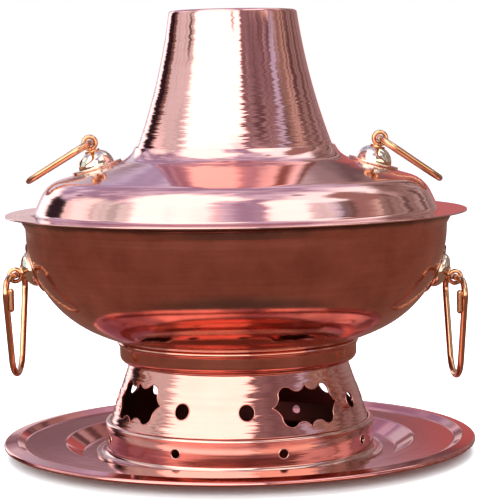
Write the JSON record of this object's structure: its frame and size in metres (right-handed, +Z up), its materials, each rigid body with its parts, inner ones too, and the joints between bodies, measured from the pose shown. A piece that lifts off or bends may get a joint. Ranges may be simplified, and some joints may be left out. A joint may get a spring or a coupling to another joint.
{
  "type": "chimney hot pot",
  "caption": "Spun copper charcoal hot pot with a central furnace chimney, a domed ring lid, ring handles, a pierced stand and a round tray.",
  "frame": {"origin": "centre of the tray's underside, on the axis of the chimney", "axes": "+Z up along the chimney's axis, -Y towards the viewer of the picture, +X to the viewer's right through the ring handles"},
  "size_m": [0.33, 0.3299, 0.3082],
  "materials": {
    "polished_copper": "polished copper sheet",
    "brushed_copper": "copper sheet brushed round the axis",
    "satin_copper": "dark satin copper",
    "mirror_brass": "mirror-polished brass",
    "warm_brass": "rubbed brass wire",
    "cast_iron": "rough cast iron"
  },
  "bodies": {
    "tray": {"tray": "polished_copper"},
    "pot": {"base_band": "brushed_copper", "stand_skirt": "brushed_copper", "foot_ring": "satin_copper", "bowl": "satin_copper", "furnace_chimney": "brushed_copper", "fire_grate": "cast_iron", "bowl_left_plate": "mirror_brass", "bowl_left_boss": "mirror_brass", "bowl_left_eye": "warm_brass", "bowl_left_nut": "warm_brass", "bowl_right_plate": "mirror_brass", "bowl_right_boss": "mirror_brass", "bowl_right_eye": "warm_brass", "bowl_right_nut": "warm_brass"},
    "lid": {"lid": "polished_copper", "lid_left_plate": "mirror_brass", "lid_left_boss": "mirror_brass", "lid_left_eye": "warm_brass", "lid_left_nut": "warm_brass", "lid_right_plate": "mirror_brass", "lid_right_boss": "mirror_brass", "lid_right_eye": "warm_brass", "lid_right_nut": "warm_brass"},
    "bowl_left_ring": {"bowl_left_ring": "warm_brass"},
    "bowl_right_ring": {"bowl_right_ring": "warm_brass"},
    "lid_left_ring": {"lid_left_ring": "warm_brass"},
    "lid_right_ring": {"lid_right_ring": "warm_brass"}
  },
  "joints": [
    {"name": "pot_lift", "type": "slide", "parent": "tray", "child": "pot", "axis": [0, 0, 1], "range_m": [0, 0.12]},
    {"name": "lid_lift", "type": "slide", "parent": "pot", "child": "lid", "axis": [0, 0, 1], "range_m": [0, 0.16]},
    {"name": "bowl_left_ring_swing", "type": "hinge", "parent": "pot", "child": "bowl_left_ring", "pos_m": [-0.15523, 0, 0.1264], "axis": [0.1219, 0.9925, 0], "range_deg": [-45, 150]},
    {"name": "lid_left_ring_swing", "type": "hinge", "parent": "lid", "child": "lid_left_ring", "pos_m": [-0.10103, 0, 0.21817], "axis": [0, 1, 0], "range_deg": [0, 165]},
    {"name": "bowl_right_ring_swing", "type": "hinge", "parent": "pot", "child": "bowl_right_ring", "pos_m": [0.15266, 0, 0.12015], "axis": [0.1219, -0.9925, 0], "range_deg": [-45, 150]},
    {"name": "lid_right_ring_swing", "type": "hinge", "parent": "lid", "child": "lid_right_ring", "pos_m": [0.10103, 0, 0.21817], "axis": [0, -1, 0], "range_deg": [0, 165]}
  ]
}
